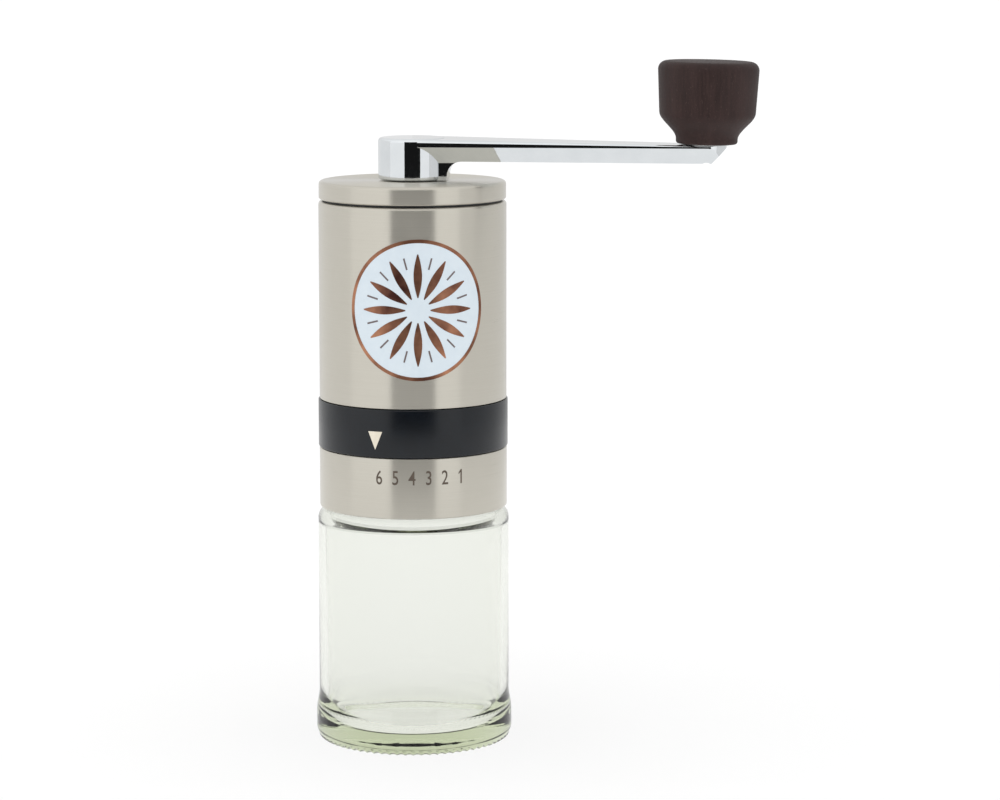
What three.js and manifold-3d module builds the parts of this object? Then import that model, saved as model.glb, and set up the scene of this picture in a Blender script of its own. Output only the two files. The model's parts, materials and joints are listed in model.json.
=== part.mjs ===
// Hand crank coffee grinder: a glass jar screws into the foot of a steel body. The body holds a bean hopper,
// a ceramic cone burr on a vertical shaft and a ceramic ring burr round it. A crank with a wooden knob sits on
// the shaft, over a loose lid. Turning the numbered ring slides the ring burr up or down on three cam pins.
// Millimetres, +Z up, origin on the shaft axis at the foot of the jar, +X along the crank arm.
import * as THREE from "three";
import { mergeVertices } from "three/addons/utils/BufferGeometryUtils.js";
import Module from "manifold-3d";

const wasm = await Module();
wasm.setup();

// Driving dimensions
const bodyRadius = 26;
const ringFoot = 66; // foot of the numbered ring, just over the jar's shoulder
const pointerFoot = 82.8;
const shellFoot = 96.2;
const shellTop = 150.8;
const lidTop = 156.4;
const play = 0.3; // gap round a part that turns or slides
const seat = 0.1; // gap between two fixed parts
const shaftRadius = 3.5;
const armReach = 80.85; // shaft axis to knob axis
const armSlope = 0.0205; // the arm's top falls by this much per millimetre
const pinTurn = THREE.MathUtils.degToRad(60); // first cam pin, the others follow a third of a turn apart
const pinHeight = 88;
const adjustTurn = THREE.MathUtils.degToRad(53); // from number 6 to number 1 under the pointer
const adjustTravel = 0.9; // the ring burr's travel over that turn
const threadPitch = 3.6;
const threadFoot = 67.6; // middle of the jar's thread where it starts

const finishes = {
  brushedSteel: [0xbdb8ac, 0.32, 1],
  chrome: [0xd8dcdf, 0.06, 1],
  steel: [0x9a9c9e, 0.35, 1],
  bronze: [0xa9803f, 0.4, 1],
  blackPlastic: [0x1b1f26, 0.5, 0],
  ceramic: [0xece8dd, 0.45, 0],
  silicone: [0xd9d9d4, 0.6, 0],
  wood: [0x3a2a28, 0.6, 0],
  paper: [0xe6ecf2, 0.45, 0],
  glass: [0xdfe8e0, 0.05, 0],
};

const roundSides = 36;
const smallSides = 18;
const boreSides = 24; // bushes, shaft and what sits round it
const pinSides = 12;
const over = 1; // how far a cutter runs past the face it cuts
const grinder = new THREE.Group();

function add(name, finish, geometry, parent = grinder) {
  const [color, roughness, metalness] = finishes[finish];
  const mesh = new THREE.Mesh(geometry, new THREE.MeshStandardMaterial({ color, roughness, metalness }));
  mesh.name = name;
  parent.add(mesh);
  return mesh;
}

// A closed geometry as a solid, its faces turned outwards.
function solid(geometry) {
  const bare = geometry.clone();
  bare.deleteAttribute("normal");
  bare.deleteAttribute("uv");
  const merged = mergeVertices(bare, 1e-4);
  const vertProperties = merged.attributes.position.array;
  const triVerts = new Uint32Array(merged.index.array);
  const made = new wasm.Manifold(new wasm.Mesh({ numProp: 3, vertProperties, triVerts }));
  if (made.volume() > 0) return made;
  const turned = triVerts.map((_, i) => triVerts[i % 3 === 1 ? i + 1 : i % 3 === 2 ? i - 1 : i]);
  return new wasm.Manifold(new wasm.Mesh({ numProp: 3, vertProperties, triVerts: turned }));
}

function surface(made) {
  const { numProp, vertProperties, triVerts } = made.getMesh();
  const points = vertProperties.filter((_, i) => i % numProp < 3);
  const geometry = new THREE.BufferGeometry();
  geometry.setAttribute("position", new THREE.BufferAttribute(points, 3));
  geometry.setIndex(new THREE.BufferAttribute(triVerts, 1));
  geometry.computeVertexNormals();
  return geometry;
}

// A profile of [radius, height] corners, or a THREE.Path, turned round the Z axis.
function turned(profile, sides = roundSides, curvePoints = 2) {
  const points = Array.isArray(profile)
    ? profile.map(([radius, height]) => new THREE.Vector2(radius, height))
    : profile.getPoints(curvePoints);
  return solid(new THREE.LatheGeometry(points, sides).rotateX(Math.PI / 2));
}

function tube(inner, outer, foot, top, sides = roundSides) {
  return turned([[inner, foot], [outer, foot], [outer, top], [inner, top], [inner, foot]], sides);
}

function rod(radius, foot, top, sides = smallSides) {
  return turned([[0, foot], [radius, foot], [radius, top], [0, top]], sides);
}

// A rod of a regular section with its corners at the radius.
function prism(corners, radius, foot, top) {
  return rod(radius, foot, top, corners);
}

function block(width, depth, height, x, y, z) {
  return solid(new THREE.BoxGeometry(width, depth, height).translate(x, y, z));
}

const thirds = [0, 1, 2].map((i) => (i * 2 * Math.PI) / 3);
const degrees = THREE.MathUtils.radToDeg;
const spun = (made, angle) => made.rotate([0, 0, degrees(angle)]);

// A straight bar of the section wound round the Z axis: section x points outwards and section y upwards.
// fade is the share of the length over which the bar rises from the surface at each end.
function wound(section, { radius, turns, pitch, steps, start = 0, foot = 0, fade = 0 }) {
  const bar = new THREE.ExtrudeGeometry(section, { depth: 1, steps, bevelEnabled: false, curveSegments: 2 });
  const at = bar.attributes.position;
  for (let i = 0; i < at.count; i++) {
    const along = at.getZ(i);
    const angle = start + along * turns * 2 * Math.PI;
    const grown = fade ? Math.min(1, 0.05 + along / fade, 0.05 + (1 - along) / fade) : 1;
    const reach = radius + at.getX(i) * grown;
    at.setXYZ(i, reach * Math.cos(angle), reach * Math.sin(angle), foot + at.getY(i) + along * turns * pitch);
  }
  return solid(bar);
}

function polygon(corners) {
  return new THREE.Shape(corners.map(([x, y]) => new THREE.Vector2(x, y)));
}

function coil({ radius, wire, turns, pitch, foot }) {
  const section = new THREE.Shape().absarc(0, 0, wire / 2, 0, 2 * Math.PI);
  return wound(section, { radius, turns, pitch, steps: Math.round(11 * turns), foot });
}

// Glass jar: thick foot with a bulging heel, round shoulder, and a neck with a screw thread.
const jar = {
  radius: 26.6, heelRadius: 27.4, footRadius: 24, shoulder: 65.6, neck: 22.2, mouth: 20.1, rim: 74.4,
  wall: 2.4, floor: 5, shoulderRound: 3.2, floorRound: 3.5, heelTop: 9, heelEase: 3.4, neckEase: 5,
  lipRound: 0.7,
};

function jarProfile() {
  const { radius, heelRadius, footRadius, shoulder, neck, mouth, rim, wall, floor } = jar;
  const { shoulderRound, floorRound, heelTop, heelEase, neckEase, lipRound } = jar;
  const heelRound = heelRadius - footRadius;
  const inside = radius - wall;
  const path = new THREE.Path();
  path.moveTo(0, 0).lineTo(footRadius, 0);
  path.absarc(footRadius, heelRound, heelRound, -Math.PI / 2, 0);
  path.lineTo(heelRadius, heelTop);
  const heelEnd = heelTop + heelEase;
  path.bezierCurveTo(heelRadius, heelTop + heelEase * 0.6, radius, heelEnd - heelEase * 0.5, radius, heelEnd);
  path.absarc(radius - shoulderRound, shoulder - shoulderRound, shoulderRound, 0, Math.PI / 2);
  path.lineTo(neck, shoulder);
  path.absarc(neck - lipRound, rim - lipRound, lipRound, 0, Math.PI / 2);
  path.absarc(mouth + lipRound, rim - lipRound, lipRound, Math.PI / 2, Math.PI);
  path.lineTo(mouth, shoulder + over);
  const neckEnd = shoulder - neckEase;
  path.bezierCurveTo(mouth, shoulder - neckEase * 0.4, inside, neckEnd + neckEase * 0.7, inside, neckEnd);
  path.absarc(inside - floorRound, floor + floorRound, floorRound, 0, -Math.PI / 2, true);
  path.lineTo(0, floor);
  return path;
}

const ridge = { root: 0.5, rootHalf: 1, crest: 1.1, crestHalf: 0.5, turns: 1.5, fade: 0.12 };
const threadRidge = polygon([
  [-ridge.root, -ridge.rootHalf], [ridge.crest, -ridge.crestHalf], [ridge.crest, ridge.crestHalf],
  [-ridge.root, ridge.rootHalf],
]);

function glassJar() {
  const { turns, fade } = ridge;
  const thread = { radius: jar.neck, turns, pitch: threadPitch, steps: 20 * turns, foot: threadFoot, fade };
  return turned(jarProfile()).add(wound(threadRidge, thread));
}

add("glass_jar", "glass", surface(glassJar()));

// Soft ring on the jar's rim, under the collar's flange.
const flangeFoot = 75.8;
const flangeTop = 78;
const seal = { inner: 20.4, outer: 22.3, gap: 0.2 };
add("jar_seal", "silicone", surface(tube(seal.inner, seal.outer, jar.rim + seal.gap, flangeFoot - seal.gap)));

// Collar: takes the jar's thread, and is screwed up under the main frame.
const collar = { outer: 24.9, bore: 23.8, outlet: 18.9, screwCircle: 21, skirt: 0.5, threadTurns: 1.25 };
const groove = { root: 0.3, rootHalf: 0.9, crest: 1.15, crestHalf: 0.45 };
const screw = { head: 1.7, headHeight: 1, shank: 0.9, bite: 6, slot: 2.2, slotWidth: 0.5, slotDepth: 0.45 };
const screwHole = { radius: 1.15, sink: 1.9, sinkDepth: 1.2 };

function jarCollar() {
  const { outer, bore, outlet, screwCircle, skirt, threadTurns: turns } = collar;
  const foot = ringFoot + skirt;
  const cup = [[bore, foot], [outer, foot], [outer, flangeTop], [outlet, flangeTop], [outlet, flangeFoot]];
  cup.push([bore, flangeFoot], [bore, foot]);
  const inward = polygon([
    [groove.root, -groove.rootHalf], [groove.root, groove.rootHalf], [-groove.crest, groove.crestHalf],
    [-groove.crest, -groove.crestHalf],
  ]);
  const middle = threadFoot + threadPitch / 2;
  const thread = { radius: bore, turns, pitch: threadPitch, steps: 20 * turns, foot: middle, fade: ridge.fade };
  const holes = thirds.map((angle) => {
    const { radius, sink, sinkDepth } = screwHole;
    const through = rod(radius, flangeFoot - over, flangeTop + over);
    const hole = through.add(rod(sink, flangeFoot - over, flangeFoot + sinkDepth));
    return spun(hole.translate([screwCircle, 0, 0]), angle);
  });
  return holes.reduce((made, hole) => made.subtract(hole), turned(cup).add(wound(inward, thread)));
}

add("jar_collar", "blackPlastic", surface(jarCollar()));

function collarScrew() {
  const { head, headHeight, shank, bite, slot, slotWidth, slotDepth } = screw;
  const foot = flangeFoot + seat;
  const recess = block(slot, slotWidth, 2 * slotDepth, 0, 0, flangeFoot);
  const stem = rod(shank, flangeFoot + headHeight, flangeTop + bite, pinSides);
  const body = rod(head, foot, foot + headHeight).add(stem);
  return body.subtract(recess).subtract(recess.rotate([0, 0, 90]));
}

thirds.forEach((angle, i) => {
  const placed = spun(collarScrew().translate([collar.screwCircle, 0, 0]), angle);
  add(`collar_screw_${i + 1}`, "steel", surface(placed));
});

// Main frame: one moulding with the hopper, its funnel, the lower bush's seat on three ribs, and the guide wall
// that the ring burr slides in. The wall has a slot for each cam pin and a pilot hole for each collar screw.
const guide = { inner: 19.6, outer: 22.4, foot: flangeTop + seat, top: 92.5 };
const hopper = { outer: 25.05, inner: 22.9, mouth: 23.7, ledge: 137, top: 148.2, funnelTop: 108 };
const throat = { radius: 15.6, foot: 96, top: 97 };
const lowerBush = { foot: 100, top: 107, radius: 4.8, seatRadius: 7 };
const rib = { start: 4, length: 16, width: 2.4 };
const pinSlot = { depth: 8, width: 3, height: 5.4 };
const pilot = { radius: 1, depth: 6.4 };
const pocket = { spare: 0.2, depth: 7, sides: 14 };
const detent = { circle: 23.7, radius: 1, height: 92.95, springFoot: 94.15, turn: Math.PI / 3 };

function mainFrame() {
  const outline = [[guide.inner, guide.foot], [guide.outer, guide.foot], [guide.outer, guide.top]];
  outline.push([hopper.outer, guide.top], [hopper.outer, hopper.top], [hopper.mouth, hopper.top]);
  outline.push([hopper.mouth, hopper.ledge], [hopper.inner, hopper.ledge], [hopper.inner, hopper.funnelTop]);
  outline.push([throat.radius, throat.top], [throat.radius, throat.foot], [guide.inner, throat.foot]);
  outline.push(outline[0]);
  let made = turned(outline);
  const { foot, top, radius, seatRadius } = lowerBush;
  thirds.forEach((angle) => {
    const beam = block(rib.length, rib.width, top - foot, rib.start + rib.length / 2, 0, (top + foot) / 2);
    made = made.add(spun(beam, angle));
  });
  made = made.add(rod(seatRadius, foot, top, boreSides));
  made = made.subtract(rod(radius + seat, foot - over, top + over, boreSides));
  thirds.forEach((angle) => {
    const { depth, width, height } = pinSlot;
    const slot = block(depth, width, height, guide.outer, 0, pinHeight - adjustTravel / 2);
    const hole = rod(pilot.radius, guide.foot - over, guide.foot + pilot.depth, pinSides);
    made = made.subtract(spun(slot, angle + pinTurn));
    made = made.subtract(spun(hole.translate([collar.screwCircle, 0, 0]), angle));
  });
  const well = rod(detent.radius + pocket.spare, guide.top - over, guide.top + pocket.depth, pocket.sides);
  return made.subtract(spun(well.translate([detent.circle, 0, 0]), detent.turn));
}

add("main_frame", "blackPlastic", surface(mainFrame()));

// Click of the numbered ring: a sprung ball in the frame runs in a track on the cam ring.
const ball = new THREE.IcosahedronGeometry(detent.radius, 2);
ball.translate(detent.circle * Math.cos(detent.turn), detent.circle * Math.sin(detent.turn), detent.height);
add("detent_ball", "steel", surface(solid(ball)));
const clickSpring = coil({ radius: 0.85, wire: 0.4, turns: 4, pitch: 1, foot: detent.springFoot });
add("detent_spring", "steel", surface(spun(clickSpring.translate([detent.circle, 0, 0]), detent.turn)));

// Cam ring: turns with the numbered ring, and its three sloping slots move the pins up and down.
const cam = {
  inner: guide.outer + play, outer: 24.75, foot: flangeTop + play, top: guide.top - play,
  step: 25.1, stepTop: 82.4,
};
const camSlot = { circle: 23.8, halfDepth: 2, halfHeight: 1.45, steps: 12, spare: THREE.MathUtils.degToRad(4) };
const track = { halfWidth: 0.75, gap: 0.15, pitRadius: 0.7, pitDepth: 0.3, pits: 6, pitSides: 10 };

function camRing() {
  const { inner, outer, foot: camFoot, top, step, stepTop } = cam;
  const outline = [[inner, camFoot], [step, camFoot], [step, stepTop], [outer, stepTop], [outer, top]];
  outline.push([inner, top], [inner, camFoot]);
  let made = turned(outline);
  const { circle, halfDepth, halfHeight, steps, spare } = camSlot;
  const turns = (adjustTurn + 2 * spare) / (2 * Math.PI);
  const pitch = (-adjustTravel / adjustTurn) * 2 * Math.PI;
  const foot = pinHeight - (pitch * spare) / (2 * Math.PI);
  const section = polygon([
    [-halfDepth, -halfHeight], [halfDepth, -halfHeight], [halfDepth, halfHeight], [-halfDepth, halfHeight],
  ]);
  thirds.forEach((angle) => {
    const start = pinTurn + angle - spare;
    made = made.subtract(wound(section, { radius: circle, turns, pitch, steps, start, foot }));
  });
  const { halfWidth, gap, pitRadius, pitDepth, pits, pitSides } = track;
  const trackFoot = detent.height - detent.radius - gap;
  made = made.subtract(tube(detent.circle - halfWidth, detent.circle + halfWidth, trackFoot, top + over));
  const click = adjustTurn / (pits - 1);
  for (let i = 0; i < pits; i++) {
    const pit = rod(pitRadius, trackFoot - pitDepth, top, pitSides).translate([detent.circle, 0, 0]);
    made = made.subtract(spun(pit, detent.turn + i * click));
  }
  return made;
}

add("cam_ring", "blackPlastic", surface(camRing()));

// Numbered ring: a steel sleeve pressed on the foot of the cam ring.
const sleeve = { inner: 25.2, outer: 26.05, top: 82.6, bevel: 0.25 };

function numberedRing() {
  const { inner, outer, top, bevel } = sleeve;
  const outline = [[inner, ringFoot], [outer - bevel, ringFoot], [outer, ringFoot + bevel]];
  outline.push([outer, top - bevel], [outer - bevel, top], [inner, top], [inner, ringFoot]);
  return turned(outline);
}

add("grind_ring", "brushedSteel", surface(numberedRing()));

// Pointer ring: a fixed black band, bonded round the frame, that carries the pointer.
const band = { inner: 25.15, outer: 26.3, top: 96, bevel: 0.3 };

function pointerRing() {
  const { inner, outer, top, bevel } = band;
  const outline = [[inner, pointerFoot], [outer - bevel, pointerFoot], [outer, pointerFoot + bevel]];
  outline.push([outer, top - bevel], [outer - bevel, top], [inner, top], [inner, pointerFoot]);
  return turned(outline);
}

add("pointer_ring", "blackPlastic", surface(pointerRing()));

// Body shell: a thin steel tube over the hopper, its top edge rolled inwards.
const shell = { inner: 25.3, outer: 25.95, lip: 23.9, edge: 0.8, sheet: 0.6, lipEase: 1.4 };

function bodyShell() {
  const { inner, outer, lip, edge, sheet, lipEase } = shell;
  const path = new THREE.Path();
  path.moveTo(inner, shellFoot).lineTo(outer, shellFoot);
  path.absarc(outer - edge, shellTop - edge, edge, 0, Math.PI / 2);
  path.lineTo(lip, shellTop).lineTo(lip, shellTop - sheet).lineTo(inner, shellTop - lipEase);
  path.lineTo(inner, shellFoot);
  return turned(path);
}

add("body_shell", "brushedSteel", surface(bodyShell()));

// Round emblem sticker, bent round the shell.
const emblemTurn = THREE.MathUtils.degToRad(-81.3);
const emblem = { radius: 19.2, height: 123.2, turn: emblemTurn, thickness: 0.15, slices: 12 };

function emblemSticker() {
  const inner = shell.outer + seat;
  const outer = inner + emblem.thickness;
  const disc = new THREE.ExtrudeGeometry(new THREE.Shape().absarc(0, 0, emblem.radius, 0, 2 * Math.PI), {
    depth: 1, steps: 1, bevelEnabled: false, curveSegments: 20,
  });
  const flat = solid(disc);
  const slices = [];
  const width = (2 * emblem.radius) / emblem.slices;
  for (let i = 0; i < emblem.slices; i++) {
    const middle = (i + 0.5) * width - emblem.radius;
    slices.push(flat.intersect(block(width, 2 * emblem.radius + over, 2 * over, middle, 0, 0.5)));
  }
  const joined = surface(slices.reduce((made, slice) => made.add(slice)));
  const at = joined.attributes.position;
  for (let i = 0; i < at.count; i++) {
    const angle = emblem.turn + at.getX(i) / outer;
    const reach = at.getZ(i) > 0.5 ? outer : inner;
    at.setXYZ(i, reach * Math.cos(angle), reach * Math.sin(angle), emblem.height + at.getY(i));
  }
  return solid(joined);
}

add("emblem_sticker", "paper", surface(emblemSticker()));

// Shaft guide: a spider that rests on the ledge in the hopper and holds the upper bush.
const upperBush = { foot: 134.5, top: 141, radius: 4.8, flange: 6.2, flangeHeight: 1 };
const spider = { inner: 21.9, top: 140.6, armStart: 5, armLength: 17.5, armWidth: 2.4, boss: 7 };

function shaftGuide() {
  const { inner, top, armStart, armLength, armWidth, boss } = spider;
  const foot = hopper.ledge + seat;
  let made = tube(inner, hopper.mouth - seat, foot, top);
  thirds.forEach((angle) => {
    const beam = block(armLength, armWidth, top - foot, armStart + armLength / 2, 0, (top + foot) / 2);
    made = made.add(spun(beam, angle + Math.PI / 2));
  });
  made = made.add(rod(boss, upperBush.foot, upperBush.top, boreSides));
  return made.subtract(rod(upperBush.radius + seat, upperBush.foot - over, upperBush.top + over, boreSides));
}

add("shaft_guide", "blackPlastic", surface(shaftGuide()));

const bushPlay = 0.08;
const bushBore = shaftRadius + bushPlay;

function flangedBush() {
  const { foot, top, radius, flange, flangeHeight } = upperBush;
  const flangeFace = top + seat;
  const outline = [[bushBore, foot], [radius, foot], [radius, flangeFace], [flange, flangeFace]];
  outline.push([flange, flangeFace + flangeHeight], [bushBore, flangeFace + flangeHeight], [bushBore, foot]);
  return turned(outline, boreSides);
}

add("upper_bush", "bronze", surface(flangedBush()));
const plainBush = tube(bushBore, lowerBush.radius, lowerBush.foot, lowerBush.top, boreSides);
add("lower_bush", "bronze", surface(plainBush));

// Drive shaft: thread for the burr's nut, square for the burr's core, round through the bushes, and a hexagon
// that the crank drops onto. The shaft's sides line up with the bushes' sides, so the small play holds.
const shaft = {
  foot: 76.8, squareFoot: 84, squareTop: 94, hexFoot: 152, top: 165, clip: 142.7,
  threadRadius: 2.4, square: 5.2,
};
const clip = {
  groove: 2.8, grooveHeight: 0.8, outer: 5.8, thickness: 0.6, mouth: 4.4, mouthStart: 0.5, mouthLength: 8,
};
const thrust = { outer: 6.2, spare: 0.15, thickness: 0.55 };

function driveShaft() {
  const { foot, squareFoot, squareTop, hexFoot, top, threadRadius, square } = shaft;
  const across = block(square, square, squareTop - squareFoot + over, 0, 0, (squareTop + squareFoot) / 2);
  const lower = rod(threadRadius, foot, squareFoot, smallSides).add(across);
  const upper = rod(shaftRadius, squareTop, hexFoot, boreSides).add(prism(6, shaftRadius, hexFoot, top));
  return lower.add(upper).subtract(tube(clip.groove, clip.outer, shaft.clip, shaft.clip + clip.grooveHeight, boreSides));
}

add("drive_shaft", "steel", surface(driveShaft()));

function shaftClip() {
  const { groove: root, grooveHeight, outer, thickness, mouth, mouthStart, mouthLength } = clip;
  const height = shaft.clip + grooveHeight / 2;
  const ring = tube(root + bushPlay, outer, height - thickness / 2, height + thickness / 2, boreSides);
  return ring.subtract(block(mouthLength, mouth, 2 * thickness, mouthStart + mouthLength / 2, 0, height));
}

add("shaft_clip", "steel", surface(shaftClip()));

function thrustWasher() {
  const top = lowerBush.foot - thrust.spare;
  return tube(shaftRadius + thrust.spare, thrust.outer, top - thrust.thickness, top, boreSides);
}

add("thrust_washer", "steel", surface(thrustWasher()));

// Cone burr: ceramic, with slanting teeth, on a plastic core that the shaft's square turns.
const cone = {
  foot: 81.5, top: 96.5, footRadius: 13.6, topRadius: 7.2, teeth: 18, toothDepth: 1, twist: 0.5, steps: 4,
  hole: 5.9,
};
const recess = { footRadius: 10.4, topRadius: 9.6, depth: 3.3 };
const bore = {
  foot: 83, top: 94.2, footRadius: 13.5, waist: 91.5, waistRadius: 11.2, topRadius: 13.2, teeth: 22,
  toothDepth: 0.9,  twist: -0.3, steps: 3, feedOverlap: 0.2, blank: 9, outer: 16.8,
};
const tooth = { crestEnd: 0.35, rootStart: 0.5, rootEnd: 0.9 }; // shares of one tooth's step

// An outline with teeth between two radii, for a burr's working face.
function toothed(root, crest, teeth) {
  const step = (2 * Math.PI) / teeth;
  const corners = [];
  for (let i = 0; i < teeth; i++) {
    const { crestEnd, rootStart, rootEnd } = tooth;
    [[0, crest], [crestEnd, crest], [rootStart, root], [rootEnd, root]].forEach(([share, radius]) => {
      const angle = (i + share) * step;
      corners.push([radius * Math.cos(angle), radius * Math.sin(angle)]);
    });
  }
  return polygon(corners);
}

// That outline drawn out from foot to top, growing or shrinking to the top radius and twisting on the way.
function drawn(outline, foot, top, growth, twist, steps) {
  const made = new THREE.ExtrudeGeometry(outline, { depth: 1, steps, bevelEnabled: false });
  const at = made.attributes.position;
  for (let i = 0; i < at.count; i++) {
    const along = at.getZ(i);
    const scale = 1 + (growth - 1) * along;
    const point = new THREE.Vector2(at.getX(i), at.getY(i)).multiplyScalar(scale);
    point.rotateAround(new THREE.Vector2(), twist * along);
    at.setXYZ(i, point.x, point.y, foot + along * (top - foot));
  }
  return solid(made);
}

function innerBurr() {
  const { foot, top, footRadius, topRadius, teeth, toothDepth, twist, steps, hole } = cone;
  const teethOutline = toothed(footRadius - toothDepth, footRadius, teeth);
  const made = drawn(teethOutline, foot, top, topRadius / footRadius, twist, steps);
  const ceiling = foot + recess.depth;
  const floor = foot - over;
  const hollow = [[0, floor], [recess.footRadius, floor], [recess.topRadius, ceiling], [0, ceiling]];
  return made.subtract(turned(hollow, boreSides)).subtract(rod(hole, foot - over, top + over, boreSides));
}

add("inner_burr", "ceramic", surface(innerBurr()));

const core = {
  foot: 82.6, flangeTop: 84.6, top: 95.2, flange: 9.3, flangeEnd: 9.1, radius: 5.7,
  square: 5.5, squareTop: 93.9,
};

function burrCore() {
  const { foot, flangeTop: step, top, flange, flangeEnd, radius, square, squareTop } = core;
  const outline = [[0, foot], [flange, foot], [flangeEnd, step], [radius, step], [radius, top], [0, top]];
  const made = turned(outline, boreSides);
  const round = rod(shaftRadius + seat, squareTop, top + over, boreSides);
  return made.subtract(block(square, square, 2 * (top - foot), 0, 0, top)).subtract(round);
}

add("burr_core", "blackPlastic", surface(burrCore()));
const washer = { hole: 2.55, outer: 6, foot: 81.6, top: 82.4 };
add("burr_washer", "steel", surface(tube(washer.hole, washer.outer, washer.foot, washer.top, smallSides)));
const nut = { radius: 4.6, foot: 77.6, top: 81.4 };
const nutHole = rod(washer.hole, nut.foot - over, nut.top + over, smallSides);
add("burr_nut", "steel", surface(prism(6, nut.radius, nut.foot, nut.top).subtract(nutHole)));
const burrSpring = coil({ radius: 4.9, wire: 0.7, turns: 3, pitch: 1, foot: 95.75 });
add("burr_spring", "steel", surface(burrSpring));

// Ring burr: ceramic, toothed inside, held in its carrier by a retainer that snaps in from below.
function outerBurr() {
  const { foot, top, footRadius, waist, waistRadius, topRadius, teeth, toothDepth, twist, steps } = bore;
  const { feedOverlap, blank, outer } = bore;
  const hollow = toothed(footRadius, footRadius + toothDepth, teeth);
  const lower = drawn(hollow, foot - 0.001, waist, waistRadius / footRadius, twist, steps);
  const feedFoot = waist - feedOverlap;
  const feedTop = top + feedOverlap;
  const feed = turned([[0, feedFoot], [waistRadius, feedFoot], [topRadius, feedTop], [0, feedTop]], boreSides);
  return tube(blank, outer, foot, top).subtract(lower).subtract(feed);
}

add("outer_burr", "ceramic", surface(outerBurr()));

const carrier = { inner: 17.1, outer: 19.3, foot: 81, top: 95.5, lip: 14.6 };
const carrierPin = { radius: 1.15, hole: 1.25, start: 17.3, end: 24.4 };
const retainer = { inner: 14.6, outer: 17, rise: 0.2 };

function burrCarrier() {
  const { inner, outer, foot, top, lip } = carrier;
  const outline = [[inner, foot], [outer, foot], [outer, top], [lip, top], [lip, bore.top + seat]];
  outline.push([inner, bore.top + seat], [inner, foot]);
  return thirds.reduce((made, angle) => {
    const hole = rod(carrierPin.hole, lip, outer + over, pinSides).rotate([0, 90, 0]);
    return made.subtract(spun(hole.translate([0, 0, pinHeight]), angle + pinTurn));
  }, turned(outline));
}

add("burr_carrier", "blackPlastic", surface(burrCarrier()));
function burrRetainer() {
  return tube(retainer.inner, retainer.outer, carrier.foot + retainer.rise, bore.foot - seat);
}

add("burr_retainer", "blackPlastic", surface(burrRetainer()));

thirds.forEach((angle, i) => {
  const { radius, start, end } = carrierPin;
  const pin = rod(radius, start, end, pinSides).rotate([0, 90, 0]).translate([0, 0, pinHeight]);
  add(`carrier_pin_${i + 1}`, "steel", surface(spun(pin, angle + pinTurn)));
});

// Lid: a steel cap over a plastic insert whose spigot centres it in the hopper's mouth.
const lid = { outer: 25.85, foot: 151.4, sheet: 0.7, edge: 0.9, hole: 4.9, bevel: 0.4 };

function lidCap() {
  const { outer, foot, sheet, edge, hole, bevel } = lid;
  const path = new THREE.Path();
  path.moveTo(outer - sheet, foot).lineTo(outer - bevel, foot).lineTo(outer, foot + bevel);
  path.absarc(outer - edge, lidTop - edge, edge, 0, Math.PI / 2);
  path.lineTo(hole, lidTop).lineTo(hole, lidTop - sheet).lineTo(outer - sheet, lidTop - sheet);
  path.lineTo(outer - sheet, foot);
  return turned(path);
}

add("lid_cap", "brushedSteel", surface(lidCap()));

const insert = {
  flange: 24.9, spigot: 23.3, spigotFoot: 145.6, wall: 1.5, plate: 1.6, boss: 6.4, bore: 3.95, bossDepth: 6,
};

function lidInsert() {
  const { flange, spigot, spigotFoot, wall, plate, boss } = insert;
  const plateTop = lidTop - lid.sheet - seat;
  const flangeBottom = shellTop + seat;
  const bossFoot = plateTop - insert.bossDepth;
  const outline = [[insert.bore, bossFoot], [boss, bossFoot], [boss, plateTop - plate]];
  outline.push([spigot - wall, plateTop - plate], [spigot - wall, spigotFoot], [spigot, spigotFoot]);
  outline.push([spigot, flangeBottom], [flange, flangeBottom], [flange, plateTop], [lid.hole - seat, plateTop]);
  outline.push([lid.hole - seat, lidTop], [insert.bore, lidTop], [insert.bore, bossFoot]);
  return turned(outline);
}

add("lid_insert", "blackPlastic", surface(lidInsert()));

// Crank: a chromed casting with a round hub, a boat-shaped arm that thins towards the knob, and a hexagon
// socket in the hub. The arm is where its side view, its plan and its cross-section meet.
const hub = { radius: 9.4, foot: lidTop + play, top: 168.2, edge: 0.7, footEdge: 0.4, socket: 165.3 };
const arm = {
  rootWidth: 9.25, endRadius: 5.5, foot: 161.9, bandFoot: 165.9, keel: 5.6, keelRound: 0.4,
  fillet: 4, filletGap: 0.6, endCut: 4.1, overEnd: 0.2,
};
const armDrop = 0.05; // the arm's top starts this far under the hub's
const armTop = (x) => hub.top - armDrop - armSlope * x;
// The share of its width that the arm loses per millimetre.
const armTaper = (1 - arm.endRadius / arm.rootWidth) / armReach;
const knobTilt = Math.atan(armSlope);

// A shape in the XZ plane, pushed out along Y to both sides.
function sideways(shape, halfWidth) {
  const depth = 2 * halfWidth;
  const made = new THREE.ExtrudeGeometry(shape, { depth, bevelEnabled: false, curveSegments: 5 });
  return solid(made.translate(0, 0, -halfWidth).rotateX(Math.PI / 2));
}

function armSide(end) {
  const { foot, bandFoot, keelRound, fillet, filletGap, endCut, overEnd } = arm;
  const side = new THREE.Shape();
  side.moveTo(0, hub.foot).lineTo(hub.radius + keelRound, hub.foot);
  side.absarc(hub.radius + filletGap + fillet, foot - fillet, fillet, Math.PI, Math.PI / 2, true);
  side.lineTo(end - endCut, foot - keelRound).lineTo(end + overEnd, bandFoot);
  return side.lineTo(end + overEnd, armTop(end)).lineTo(0, armTop(0));
}

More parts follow.
